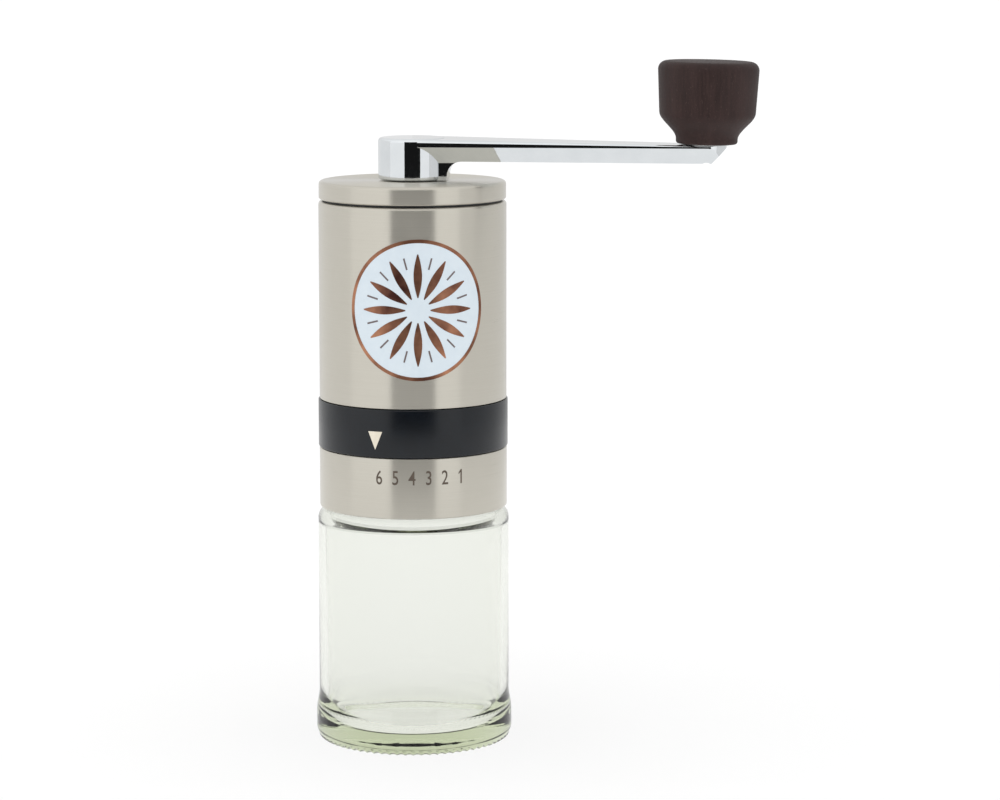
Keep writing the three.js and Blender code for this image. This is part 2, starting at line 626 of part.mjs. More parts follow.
// The arm's cross-section at the shaft's axis, run out to the end and narrowed on the way.
function armBar(end) {
  const { rootWidth, foot, bandFoot, keel, keelRound } = arm;
  const keelFoot = foot - keelRound;
  const section = polygon([
    [-keel, hub.foot - over], [keel, hub.foot - over], [keel, keelFoot], [rootWidth, bandFoot],
    [rootWidth, hub.top + over], [-rootWidth, hub.top + over], [-rootWidth, bandFoot], [-keel, keelFoot],
  ]);
  const bar = new THREE.ExtrudeGeometry(section, { depth: end + over, bevelEnabled: false });
  const at = bar.attributes.position;
  for (let i = 0; i < at.count; i++) at.setX(i, at.getX(i) * (1 - armTaper * at.getZ(i)));
  return solid(bar.rotateX(Math.PI / 2).rotateZ(Math.PI / 2));
}

function armSolid() {
  const end = armReach + arm.endRadius;
  const plan = new THREE.Shape();
  plan.moveTo(0, -hub.radius - over).lineTo(armReach, -hub.radius - over).lineTo(armReach, -arm.endRadius);
  plan.absarc(armReach, 0, arm.endRadius, -Math.PI / 2, Math.PI / 2);
  plan.lineTo(armReach, hub.radius + over).lineTo(0, hub.radius + over);
  const depth = hub.top - hub.foot + 2 * over;
  const seen = new THREE.ExtrudeGeometry(plan, { depth, bevelEnabled: false, curveSegments: 8 });
  const rounded = solid(seen.translate(0, 0, hub.foot - over));
  return sideways(armSide(end), hub.radius + over).intersect(armBar(end)).intersect(rounded);
}

// The knob's parts share this group: its origin is on the arm's top, its Z axis square to that slope.
const knobGroup = new THREE.Group();
knobGroup.position.set(armReach, 0, armTop(armReach));
knobGroup.rotation.y = knobTilt;
grinder.add(knobGroup);

const spindle = {
  radius: 3, hole: 3.05, groove: 2.5, clipHeight: 13, clipRoom: 0.9, top: 15.5,
  head: 3.4, headHeight: 1.35, headGap: 0.15, foot: -3,
};
const knobWasher = { spare: 0.2, outer: 6.4, foot: 0.1, top: 0.5 };
const knobRing = { outer: 4.2, thickness: 0.6, mouth: 1.6, mouthStart: 1, mouthLength: 6 };

function crankArm() {
  const path = new THREE.Path();
  path.moveTo(0, hub.foot).lineTo(hub.radius - hub.footEdge, hub.foot);
  path.lineTo(hub.radius, hub.foot + hub.footEdge);
  path.absarc(hub.radius - hub.edge, hub.top - hub.edge, hub.edge, 0, Math.PI / 2);
  path.lineTo(0, hub.top);
  const socket = prism(6, shaftRadius + play, hub.foot - over, hub.socket);
  const below = hub.foot - hub.top;
  const sink = rod(spindle.head + seat, below, spindle.foot + spindle.headHeight + spindle.headGap);
  const hole = rod(spindle.hole, below, -below).add(sink);
  const turnedHole = hole.rotate([0, degrees(knobTilt), 0]).translate([armReach, 0, armTop(armReach)]);
  return turned(path).add(armSolid()).subtract(socket).subtract(turnedHole);
}

add("crank_arm", "chrome", surface(crankArm()));

function knobSpindle() {
  const { radius, groove: root, clipHeight, clipRoom, top, head, headHeight, foot } = spindle;
  const stem = rod(head, foot, foot + headHeight).add(rod(radius, foot, top));
  return stem.subtract(tube(root, radius + over, clipHeight, clipHeight + clipRoom, smallSides));
}

add("knob_spindle", "steel", surface(knobSpindle()), knobGroup);

function washerSolid() {
  const { spare, outer, foot, top } = knobWasher;
  return tube(spindle.radius + spare, outer, foot, top, boreSides);
}

add("knob_washer", "steel", surface(washerSolid()), knobGroup);

function knobClip() {
  const { outer, thickness, mouth, mouthStart, mouthLength } = knobRing;
  const height = spindle.clipHeight + spindle.clipRoom / 2;
  const ring = tube(spindle.groove + seat, outer, height - thickness / 2, height + thickness / 2, smallSides);
  return ring.subtract(block(mouthLength, mouth, 2 * thickness, mouthStart + mouthLength / 2, 0, height));
}

add("knob_clip", "steel", surface(knobClip()), knobGroup);

// Knob: turned wood, a waisted foot under a broad cup, bored from below and grooved for the clip.
const knob = {
  foot: 0.3, top: 22.85, dome: 0.2, footRadius: 7.6, footEdge: 0.8, waist: 8.45, waistTop: 1.6, belly: 13.2,
  bellyFoot: 8.6, swell: 3, brim: 13.85, edge: 2.3, sides: 28,
};
const knobHollow = { spare: 0.25, end: 0.6, clipRadius: 4.4, washerRadius: 6.7, washerTop: 0.8 };

function knobSolid() {
  const { foot, top, dome, footRadius, footEdge, waist, waistTop } = knob;
  const { belly, bellyFoot, swell, brim, edge, sides } = knob;
  const path = new THREE.Path();
  path.moveTo(0, foot).lineTo(footRadius, foot).lineTo(waist, foot + footEdge).lineTo(waist, foot + waistTop);
  const bellyHeight = foot + bellyFoot;
  path.bezierCurveTo(waist, foot + waistTop + swell, belly, bellyHeight - swell, belly, bellyHeight);
  path.absarc(brim - edge, top - edge, edge, 0, Math.PI / 2);
  path.lineTo(0, top + dome);
  const { spare, end, clipRadius, washerRadius, washerTop } = knobHollow;
  const hollow = rod(spindle.radius + spare, foot - over, spindle.top + end);
  const clipRoom = rod(clipRadius, spindle.clipHeight, spindle.clipHeight + spindle.clipRoom);
  const washerRoom = rod(washerRadius, foot - over, washerTop);
  return turned(path, sides, 3).subtract(hollow).subtract(clipRoom).subtract(washerRoom);
}

add("knob", "wood", surface(knobSolid()), knobGroup);

export default grinder;
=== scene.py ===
import json
from math import atan2, cos, pi, radians, sin

import bpy
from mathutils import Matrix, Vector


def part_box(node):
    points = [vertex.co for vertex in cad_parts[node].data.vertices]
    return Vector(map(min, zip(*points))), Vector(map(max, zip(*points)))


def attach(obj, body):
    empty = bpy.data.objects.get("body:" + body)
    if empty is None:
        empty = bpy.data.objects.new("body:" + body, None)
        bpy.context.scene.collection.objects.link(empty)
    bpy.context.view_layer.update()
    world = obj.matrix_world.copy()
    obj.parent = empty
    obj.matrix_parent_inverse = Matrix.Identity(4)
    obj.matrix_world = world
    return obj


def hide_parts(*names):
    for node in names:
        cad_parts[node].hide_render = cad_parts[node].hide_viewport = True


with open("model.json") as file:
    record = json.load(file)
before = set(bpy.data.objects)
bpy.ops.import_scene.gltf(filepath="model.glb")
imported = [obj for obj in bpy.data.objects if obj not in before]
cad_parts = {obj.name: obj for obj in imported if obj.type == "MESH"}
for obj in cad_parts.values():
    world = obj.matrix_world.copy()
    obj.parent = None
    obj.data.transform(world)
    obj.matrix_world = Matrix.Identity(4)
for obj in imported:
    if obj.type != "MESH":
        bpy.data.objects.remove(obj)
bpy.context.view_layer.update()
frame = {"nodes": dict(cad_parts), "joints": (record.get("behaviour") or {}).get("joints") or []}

mm = 0.001

# Studio: a pale floor in a white light tent that is a little dimmer behind the grinder. A dark screen stands on the
# side that the numbers face. It shows only in shiny surfaces, which polished and brushed steel carry as dark stripes.
view_turn = radians(5.7)  # the camera stands this far round from -Y, towards the crank arm


def node(material, kind, wires=None, **settings):
    """A node with its settings. Whole numbers in wires are socket places, and values are outputs or plain values."""
    made = material.node_tree.nodes.new(kind)
    for key, value in settings.items():
        setattr(made, key, value)
    for key, value in (wires or {}).items():
        if isinstance(value, bpy.types.NodeSocket):
            material.node_tree.links.new(value, made.inputs[key])
        else:
            made.inputs[key].default_value = value
    return made


def maths(material, operation, *values):
    return node(material, "ShaderNodeMath", dict(enumerate(values)), operation=operation).outputs[0]


def finish(name, **sockets):
    """A material with plain values on its shader, and that shader."""
    material = bpy.data.materials.new(name)
    material.use_nodes = True
    shader = material.node_tree.nodes["Principled BSDF"]
    for key, value in sockets.items():
        shader.inputs[key.replace("_", " ")].default_value = value
    return material, shader


tent = bpy.data.worlds.new("light_tent")
bpy.context.scene.world = tent
tent.use_nodes = True
heading = node(tent, "ShaderNodeTexCoord").outputs["Generated"]
opening = node(tent, "ShaderNodeVectorMath", {0: heading, 1: (sin(view_turn), -cos(view_turn), 0)},
               operation="DOT_PRODUCT").outputs["Value"]
sideways = node(tent, "ShaderNodeVectorMath", {0: heading, 1: (cos(view_turn), sin(view_turn), 0)},
                operation="DOT_PRODUCT").outputs["Value"]
lit = maths(tent, "MULTIPLY_ADD", opening, 0.16, 1.05)
cloth = maths(tent, "MULTIPLY_ADD", sideways, -0.05, lit)
tent.node_tree.links.new(cloth, tent.node_tree.nodes["Background"].inputs["Strength"])
tent.node_tree.nodes["Background"].inputs["Color"].default_value = (1, 1, 1, 1)

bpy.ops.object.select_all(action="DESELECT")
bpy.ops.mesh.primitive_circle_add(vertices=64, radius=14, fill_type="NGON")
floor = bpy.context.object
floor.name = "floor"
floor_paint = finish("floor_paint", Base_Color=(0.99, 0.99, 0.99, 1), Roughness=1, Specular_IOR_Level=0)[0]
floor.data.materials.append(floor_paint)

screen_reach = 600 * mm
screen_height = 400 * mm


def screen(name, middle, width, brightness):
    """A curved cloth round the grinder, its angles in degrees from the camera. Only shiny surfaces show it."""
    bpy.ops.object.select_all(action="DESELECT")
    bpy.ops.mesh.primitive_grid_add(x_subdivisions=24, y_subdivisions=1, size=1)
    cloth_sheet = bpy.context.object
    cloth_sheet.name = name
    for vertex in cloth_sheet.data.vertices:
        angle = view_turn - pi / 2 + radians(middle + vertex.co.x * width)
        vertex.co = (screen_reach * cos(angle), screen_reach * sin(angle), (0.5 + vertex.co.y) * screen_height)
    weave = finish(name, Base_Color=(0, 0, 0, 1), Specular_IOR_Level=0, Emission_Color=(1, 1, 1, 1),
                   Emission_Strength=brightness)[0]
    cloth_sheet.data.materials.append(weave)
    cloth_sheet.visible_camera = cloth_sheet.visible_diffuse = False
    cloth_sheet.visible_transmission = cloth_sheet.visible_shadow = False


screen("dark_screen", 0, 53, 0.01)
screen("right_screen", 119, 122, 0.80)
screen("left_screen", -115, 70, 0.92)
screen("far_left_screen", -165, 30, 0.84)

camera_distance = 928.8 * mm
camera_height = 230.2 * mm
camera_down = radians(8.279)
camera_aside = radians(1.49)
camera_spot = (sin(view_turn) * camera_distance, -cos(view_turn) * camera_distance, camera_height)
bpy.ops.object.camera_add(location=camera_spot, rotation=(pi / 2 - camera_down, 0, view_turn - camera_aside))
camera = bpy.context.object
camera.data.lens = 121.4
bpy.context.scene.camera = camera
bpy.context.scene.view_settings.view_transform = "Standard"


# Body shell: a drawn stainless steel tube, brushed round its axis, its top edge rolled in over the hopper.
# It is pressed over the main frame.
def arc(middle_x, middle_y, radius, first, last, steps=8):
    """Points on an arc, its angles in degrees."""
    angles = [radians(first + (last - first) * i / steps) for i in range(steps + 1)]
    return [(middle_x + radius * cos(a), middle_y + radius * sin(a)) for a in angles]


def choose(piece):
    bpy.ops.object.select_all(action="DESELECT")
    piece.select_set(True)
    bpy.context.view_layer.objects.active = piece


def clean(piece, merged=0.002 * mm):
    bpy.ops.object.mode_set(mode="EDIT")
    bpy.ops.mesh.select_all(action="SELECT")
    bpy.ops.mesh.remove_doubles(threshold=merged)
    bpy.ops.mesh.normals_make_consistent(inside=False)
    bpy.ops.object.mode_set(mode="OBJECT")
    return piece


def turned(name, outline, sides=144):
    """A solid of revolution from an outline of (radius, height) in millimetres."""
    bpy.ops.object.select_all(action="DESELECT")
    bpy.ops.mesh.primitive_plane_add(size=mm)
    piece = bpy.context.object
    piece.name = name
    bpy.ops.object.mode_set(mode="EDIT")
    bpy.ops.mesh.merge(type="CENTER")
    bpy.ops.transform.translate(value=(outline[0][0] * mm, 0, outline[0][1] * mm))
    for before, after in zip(outline, outline[1:]):
        step = ((after[0] - before[0]) * mm, 0, (after[1] - before[1]) * mm)
        bpy.ops.mesh.extrude_vertices_move(TRANSFORM_OT_translate={"value": step})
    bpy.ops.mesh.select_all(action="SELECT")
    bpy.ops.mesh.spin(steps=sides, angle=2 * pi, center=(0, 0, 0), axis=(0, 0, 1))
    bpy.ops.object.mode_set(mode="OBJECT")
    return clean(piece)


def modified(piece, kind, **settings):
    """The piece with one modifier applied."""
    choose(piece)
    change = piece.modifiers.new(kind.lower(), kind)
    for key, value in settings.items():
        setattr(change, key, value)
    bpy.ops.object.modifier_apply(modifier=change.name)
    return piece


def eased(piece, width, segments=3, angle=30):
    """The piece with its sharp edges rounded off."""
    return modified(piece, "BEVEL", width=width * mm, segments=segments, limit_method="ANGLE",
                    angle_limit=radians(angle), harden_normals=False)


def fitted(piece, body, material, *nodes, slot=None, angle=32):
    """The finished piece: smooth, in its material, on its body, in place of its CAD nodes."""
    choose(piece)
    bpy.ops.object.shade_smooth_by_angle(angle=radians(angle))
    piece.data.materials.clear()
    piece.data.materials.append(material)
    if nodes:
        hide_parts(*nodes)
    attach(piece, body)
    return piece


def wire(material, output, shader, socket):
    material.node_tree.links.new(output, shader.inputs[socket])


def place(material, scale=(1, 1, 1)):
    spot = node(material, "ShaderNodeTexCoord").outputs["Object"]
    return node(material, "ShaderNodeMapping", {"Vector": spot, "Scale": scale}).outputs[0]


def noise(material, vector, scale, detail=3.0, roughness=0.6):
    wires = {"Vector": vector, "Scale": scale, "Detail": detail, "Roughness": roughness}
    return node(material, "ShaderNodeTexNoise", wires).outputs["Fac"]


def ranged(material, value, low, high, start=0.3, end=0.7):
    return node(material, "ShaderNodeMapRange", {0: value, 1: start, 2: end, 3: low, 4: high}).outputs[0]


def blended(material, share, first, second):
    mixed = node(material, "ShaderNodeMix", {0: share, 6: (*first, 1), 7: (*second, 1)}, data_type="RGBA")
    return mixed.outputs[2]


def bumped(material, height, distance, strength=1.0):
    wires = {"Height": height, "Distance": distance * mm, "Strength": strength}
    return node(material, "ShaderNodeBump", wires).outputs[0]


def brushed(name, pale, deep, roughness=0.31, anisotropy=0.95):
    """Steel brushed in circles round the axis: fine lines, slow patches and a few deeper scratches."""
    material, shader = finish(name, Metallic=1, Anisotropic=anisotropy, Anisotropic_Rotation=0.25)
    part = node(material, "ShaderNodeSeparateXYZ", {0: place(material)}).outputs
    squares = maths(material, "ADD", maths(material, "POWER", part["X"], 2), maths(material, "POWER", part["Y"], 2))
    reach = maths(material, "SQRT", squares)
    stretched, packed = 60, 14000  # noise cells per metre along a brush line and across the lines
    along = {0: maths(material, "MULTIPLY", part["X"], stretched),
             1: maths(material, "MULTIPLY", part["Y"], stretched)}
    upward = maths(material, "MULTIPLY", part["Z"], packed)
    line = maths(material, "ADD", upward, maths(material, "MULTIPLY", reach, packed))
    grain = node(material, "ShaderNodeCombineXYZ", {**along, 2: line}).outputs[0]
    fine = noise(material, grain, 1, 4, 0.7)
    coarse = noise(material, node(material, "ShaderNodeVectorMath", {0: grain, 1: (1, 1, 0.35)},
                                  operation="MULTIPLY").outputs[0], 1, 2)
    patches = noise(material, place(material), 60, 2)
    streaks = maths(material, "MULTIPLY_ADD", coarse, 0.3, maths(material, "MULTIPLY", fine, 0.7))
    wire(material, blended(material, ranged(material, streaks, 0, 1), deep, pale), shader, "Base Color")
    worn = maths(material, "MULTIPLY_ADD", patches, 0.06, ranged(material, fine, roughness - 0.06, roughness))
    wire(material, worn, shader, "Roughness")
    wire(material, bumped(material, streaks, 0.003), shader, "Normal")
    tangent = node(material, "ShaderNodeTangent", direction_type="RADIAL", axis="Z").outputs[0]
    wire(material, tangent, shader, "Tangent")
    return material


shell_low, shell_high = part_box("body_shell")
shell_radius = shell_high[0] / mm
shell_foot = shell_low[2] / mm
shell_top = shell_high[2] / mm
shell_edge = 0.9
shell_outline = [(25.3, shell_foot), (shell_radius - 0.1, shell_foot), (shell_radius, shell_foot + 0.1)]
shell_outline += arc(shell_radius - shell_edge, shell_top - shell_edge, shell_edge, 0, 90)
shell_outline += [(23.9, shell_top), (23.9, shell_top - 0.6), (25.3, shell_top - 1.4), (25.3, shell_foot)]
warm_steel = brushed("brushed_steel", (0.605, 0.58, 0.515), (0.55, 0.525, 0.46))
fitted(turned("steel_body", shell_outline), "housing", warm_steel, "body_shell", slot="brushed_steel")

# Lid: a pressed steel cap, brushed in rings, with a narrow rounded edge. It is bonded over a black insert whose
# flange shows as a dark line under it.
lid_low, lid_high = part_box("lid_cap")
lid_radius = lid_high[0] / mm
lid_foot = lid_low[2] / mm
lid_top = lid_high[2] / mm
lid_edge = 1.0
lid_hole = 4.9
lid_outline = [(25.15, lid_foot), (lid_radius - 0.3, lid_foot), (lid_radius, lid_foot + 0.3)]
lid_outline += arc(lid_radius - lid_edge, lid_top - lid_edge, lid_edge, 0, 90)
lid_outline += [(15, lid_top), (lid_hole + 0.15, lid_top), (lid_hole, lid_top - 0.15), (lid_hole, lid_top - 0.7)]
lid_outline += [(25.15, lid_top - 0.7), (25.15, lid_foot)]
fitted(turned("steel_lid", lid_outline), "lid", warm_steel, "lid_cap", slot="brushed_steel")

# Pointer band: a black anodised band, bonded round the frame, a hair proud of the shell.
# The pointer is a cream triangle printed on it.
def tinted(name, pale, deep, roughness, grain, depth, **sockets):
    """A moulded or cast finish: fine grain, slow cloudiness and a little variation of gloss."""
    material, shader = finish(name, **sockets)
    fine = noise(material, place(material), grain, 3)
    cloudy = noise(material, place(material), grain / 25, 3)
    wire(material, blended(material, ranged(material, cloudy, 0, 1), deep, pale), shader, "Base Color")
    wire(material, maths(material, "MULTIPLY_ADD", fine, 0.12, roughness - 0.06), shader, "Roughness")
    wire(material, bumped(material, fine, depth), shader, "Normal")
    return material


def banded(name, cad_node, inner, bevel, body, material, slot):
    low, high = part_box(cad_node)
    radius, foot, top = high[0] / mm, low[2] / mm, high[2] / mm
    outline = [(inner, foot), *arc(radius - bevel, foot + bevel, bevel, -90, 0, 4)]
    outline += [*arc(radius - bevel, top - bevel, bevel, 0, 90, 4), (inner, top), (inner, foot)]
    return fitted(turned(name, outline), body, material, cad_node, slot=slot)


def wrapped(piece, radius, turn, height):
    """The flat piece bent round the shaft's axis, its front outwards."""
    for vertex in piece.data.vertices:
        x, y, z = vertex.co
        reach = radius * mm + z
        angle = turn + x / (radius * mm)
        vertex.co = (reach * cos(angle), reach * sin(angle), height * mm + y)
    return piece


def plate(name, outline, thickness, back=0.0, cuts=0):
    """A flat plate with that outline in millimetres, extruded up from its back."""
    bpy.ops.object.select_all(action="DESELECT")
    bpy.ops.mesh.primitive_circle_add(vertices=len(outline), radius=mm)
    piece = bpy.context.object
    piece.name = name
    for vertex, (x, y) in zip(piece.data.vertices, outline):
        vertex.co = (x * mm, y * mm, back * mm)
    bpy.ops.object.mode_set(mode="EDIT")
    bpy.ops.mesh.select_all(action="SELECT")
    bpy.ops.mesh.edge_face_add()
    bpy.ops.mesh.extrude_region_move(TRANSFORM_OT_translate={"value": (0, 0, thickness * mm)})
    if cuts:
        bpy.ops.mesh.select_all(action="SELECT")
        bpy.ops.mesh.subdivide(number_cuts=cuts)
    bpy.ops.object.mode_set(mode="OBJECT")
    return clean(piece)


anodised = tinted("black_anodised", (0.0022, 0.0045, 0.008), (0.0012, 0.0026, 0.005), 0.26, 9000, 0.002,
                  Specular_IOR_Level=0.4)
banded("pointer_band", "pointer_ring", 25.15, 0.35, "housing", anodised, "black_plastic")
band_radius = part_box("pointer_ring")[1][0] / mm
cream_print = tinted("cream_print", (0.78, 0.72, 0.60), (0.70, 0.64, 0.52), 0.5, 7000, 0.004)
pointer = plate("pointer_mark", [(-2.05, 2.5), (0, -2.5), (2.05, 2.5)], 0.09, -0.05, 3)
pointer_turn = view_turn - pi / 2 - radians(23.2)
pointer_height = 87.5
fitted(wrapped(pointer, band_radius, pointer_turn, pointer_height), "housing", cream_print, slot="sticker")

# Numbered ring: a brushed steel sleeve pressed on the plastic cam ring. Its numbers are laser marked.
banded("number_ring", "grind_ring", 25.2, 0.3, "adjuster", warm_steel, "brushed_steel")
ring_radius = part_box("grind_ring")[1][0] / mm
marked = tinted("laser_mark", (0.105, 0.078, 0.056), (0.070, 0.052, 0.038), 0.6, 9000, 0.006)
number_start = radians(21.0)
number_step = radians(10.05)
number_tall = 3.9
number_narrow = 0.74
number_height = 77.4
number_one = [(0.1, -2), (0.7, -2), (0.7, 2), (0.2, 2), (-0.7, 1.1), (-0.7, 0.6), (0.1, 1.2)]
for i, number in enumerate("654321"):
    bpy.ops.object.select_all(action="DESELECT")
    bpy.ops.object.text_add()
    label = bpy.context.object
    label.data.body = number
    label.data.align_x = "CENTER"
    label.data.size = 5.5 * mm
    label.data.extrude = 0.03 * mm
    label.data.offset = 0.03 * mm
    label.data.resolution_u = 6
    bpy.ops.object.convert(target="MESH")
    label = bpy.context.object
    label.name = f"number_{number}"
    if number == "1":
        bpy.data.objects.remove(label)
        label = plate("number_1", number_one, 0.06, -0.03)
    tall = [vertex.co.y for vertex in label.data.vertices]
    wide = [vertex.co.x for vertex in label.data.vertices]
    fit = number_tall * mm / (max(tall) - min(tall))
    for vertex in label.data.vertices:
        vertex.co.x = (vertex.co.x - (max(wide) + min(wide)) / 2) * number_narrow * fit
        vertex.co.y = (vertex.co.y - (max(tall) + min(tall)) / 2) * fit
    turn = view_turn - pi / 2 - number_start + i * number_step
    fitted(clean(wrapped(label, ring_radius, turn, number_height)), "adjuster", marked, slot="sticker")

# Jar: pressed clear glass with a green cast where it is thick. It has a heavy bulging foot with a ring of short
# grip dashes under its edge, and its neck screws into the collar.
jar_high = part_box("glass_jar")[1]
heel = jar_high[1] / mm
jar_rim = jar_high[2] / mm
jar_radius = 26.6
jar_foot = 24.0
jar_wall = 2.3
jar_floor = 4.6
floor_round = 7.5
heel_round = heel - jar_foot
shoulder = 65.6
shoulder_round = 3.2
neck = 22.2
mouth = 20.1
lip = 0.7


def eased_curve(start, end, bend, steps=8):
    """Points from start to end that leave and arrive upright, as a smooth step in radius."""
    points = []
    for i in range(1, steps):
        share = i / steps
        smooth = share * share * (3 - 2 * share)
        points.append((start[0] + (end[0] - start[0]) * smooth,
                       start[1] + (end[1] - start[1]) * share ** bend))
    return points


outside = [(0, 0.9), (12, 0.8), (20, 0.5), (22, 0), *arc(jar_foot, heel_round, heel_round, -88, 0, 12)]
outside += [(heel, 7.5), *eased_curve((heel, 7.5), (jar_radius, 14), 1), (jar_radius, 14), (jar_radius, 38)]
outside += arc(jar_radius - shoulder_round, shoulder - shoulder_round, shoulder_round, 0, 90, 10)
outside += [(neck, shoulder), *arc(neck - lip, jar_rim - lip, lip, 0, 90, 4)]
inside_radius = jar_radius - jar_wall
inside = [*arc(mouth + lip, jar_rim - lip, lip, 90, 180, 4), (mouth, shoulder + 1)]
inside += [*eased_curve((mouth, shoulder + 1), (inside_radius, shoulder - 5), 1), (inside_radius, shoulder - 5)]
inside += [(inside_radius, 38), (inside_radius, 14)]
inside += arc(inside_radius - floor_round, jar_floor + floor_round, floor_round, 0, -90, 14)
inside += [(12, jar_floor + 0.35), (0, jar_floor + 0.6)]
grip_columns = 216
grip_depth = 0.32 * mm
grip_drop = 0.2 * mm
jar = turned("jar_glass", outside + inside, grip_columns)
for vertex in jar.data.vertices:
    reach = (vertex.co.x ** 2 + vertex.co.y ** 2) ** 0.5
    column = round(atan2(vertex.co.y, vertex.co.x) / (2 * pi) * grip_columns)
    if column % 3 == 0 and jar_foot * mm < reach and 0.15 * mm < vertex.co.z < 1.3 * mm:
        vertex.co.x *= 1 + grip_depth / reach
        vertex.co.y *= 1 + grip_depth / reach
        vertex.co.z = max(0, vertex.co.z - grip_drop)

thread_turns = 1.5
thread_pitch = 3.6
thread_start = 67.6
bpy.ops.object.select_all(action="DESELECT")
bpy.ops.mesh.primitive_plane_add(size=mm)
thread = bpy.context.object
for vertex, (x, z) in zip(thread.data.vertices, [(-0.5, -1), (-0.5, 1), (1.1, -0.5), (1.1, 0.5)]):
    vertex.co = ((neck + x) * mm, 0, (thread_start + z) * mm)
bpy.ops.object.mode_set(mode="EDIT")
bpy.ops.mesh.delete(type="ONLY_FACE")
bpy.ops.object.mode_set(mode="OBJECT")
modified(thread, "SCREW", angle=2 * pi * thread_turns, screw_offset=thread_pitch * thread_turns * mm, steps=120,
         render_steps=120, axis="Z", use_normal_calculate=True)
bpy.ops.object.mode_set(mode="EDIT")
bpy.ops.mesh.select_all(action="DESELECT")
bpy.ops.mesh.select_non_manifold()
bpy.ops.mesh.fill_holes(sides=0)
bpy.ops.object.mode_set(mode="OBJECT")
clean(thread)
eased(thread, 0.25, 2, 40)
modified(jar, "BOOLEAN", operation="UNION", object=thread, solver="EXACT")
bpy.data.objects.remove(thread)

clear_glass, glass_shader = finish("clear_glass", Transmission_Weight=1, IOR=1.38, Base_Color=(0.93, 0.935, 0.92, 1))
ripple = noise(clear_glass, place(clear_glass, (1, 1, 0.35)), 45, 1)
smear = noise(clear_glass, place(clear_glass), 160, 3)
wire(clear_glass, bumped(clear_glass, ripple, 0.12, 0.5), glass_shader, "Normal")
wire(clear_glass, ranged(clear_glass, smear, 0.0, 0.035, 0.45, 0.8), glass_shader, "Roughness")
cast = node(clear_glass, "ShaderNodeVolumeAbsorption", {"Color": (0.52, 0.61, 0.24, 1), "Density": 19.0})
clear_glass.node_tree.links.new(cast.outputs[0], clear_glass.node_tree.nodes["Material Output"].inputs["Volume"])
fitted(jar, "jar", clear_glass, "glass_jar", slot="glass", angle=40)
# light passes through the glass, and the floor under it stays bright
jar.visible_shadow = jar.visible_diffuse = False

# Knob: turned beech with a dark matt stain, a broad cup on a waisted foot. It is bored from below and snaps over
# a clip on its spindle.
knob_joint = next(joint for joint in frame["joints"] if joint["name"] == "knob_spin")
knob_seat = knob_joint["pos_m"]
knob_tilt = atan2(knob_joint["axis"][0], knob_joint["axis"][2])
knob_foot = 0.3
knob_top = 22.8
brim = 13.84
brim_round = 2.4
neck_radius = 8.45
belly = 13.2
knob_outline = [(0, 16.1), (3.25, 16.1), (3.25, 13.95), (4.4, 13.95), (4.4, 13), (3.25, 13), (3.25, 0.8), (6.7, 0.8)]
knob_outline += [(6.7, knob_foot), *arc(neck_radius - 0.8, knob_foot + 0.8, 0.8, -90, 0, 5), (neck_radius, 1.6)]
knob_outline += [*eased_curve((neck_radius, 1.6), (belly, 8.9), 1, 14), (belly, 8.9)]
knob_outline += [*arc(brim - brim_round, knob_top - brim_round, brim_round, 4, 86, 8)]
knob_outline += [(8, knob_top + 0.06), (0, knob_top + 0.1)]


def at_knob(spot):
    """A place given from the knob's seat, turned to the slope of the arm."""
    x, y, z = spot
    return (knob_seat[0] + x * cos(knob_tilt) + z * sin(knob_tilt), y,
            knob_seat[2] + z * cos(knob_tilt) - x * sin(knob_tilt))


knob = turned("wooden_knob", knob_outline, 120)
for vertex in knob.data.vertices:
    vertex.co = at_knob(vertex.co)

stained_wood, wood_shader = finish("stained_beech", Specular_IOR_Level=0.22)
fibres = noise(stained_wood, place(stained_wood, (1, 1, 0.12)), 1400, 4, 0.65)
rings = noise(stained_wood, place(stained_wood, (1, 0.25, 0.15)), 260, 3)
flecks = noise(stained_wood, place(stained_wood, (1, 1, 0.4)), 2600, 2, 0.8)
tone = maths(stained_wood, "MULTIPLY_ADD", rings, 0.5, maths(stained_wood, "MULTIPLY", fibres, 0.5))
grown = ranged(stained_wood, tone, 0, 1, 0.35, 0.65)
base = blended(stained_wood, grown, (0.020, 0.0095, 0.0085), (0.040, 0.021, 0.019))
pale_flecks = node(stained_wood, "ShaderNodeMix", {0: ranged(stained_wood, flecks, 0, 0.5, 0.6, 0.8), 6: base,
                                                    7: (0.105, 0.066, 0.058, 1)}, data_type="RGBA").outputs[2]
wire(stained_wood, pale_flecks, wood_shader, "Base Color")
wire(stained_wood, ranged(stained_wood, fibres, 0.5, 0.68), wood_shader, "Roughness")
wire(stained_wood, bumped(stained_wood, maths(stained_wood, "ADD", fibres, flecks), 0.03), wood_shader, "Normal")
fitted(knob, "knob", stained_wood, "knob", slot="wood")

# Crank: a zinc casting, polished and chromed. The arm leaves the round hub as wide as the hub, narrows and thins
# towards its rounded end, and is boat-shaped below. A hexagon socket in the hub drops on the shaft.
hub_low, hub_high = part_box("crank_arm")
hub_foot = hub_low[2] / mm
hub_top = hub_high[2] / mm
hub_radius = hub_high[1] / mm
arm_reach = knob_seat[0] / mm
arm_foot = 161.9
arm_start = hub_top - 0.05
arm_root = 9.25
arm_end = 5.5
keel = 5.6
band_foot = 166.0
band_fall = 0.25
top_round = 1.2
fillet = 4.0
slope = 0.0205
tip = arm_reach + arm_end


def cut(piece, other, operation):
    modified(piece, "BOOLEAN", operation=operation, object=other, solver="EXACT")
    bpy.data.objects.remove(other)
    return piece


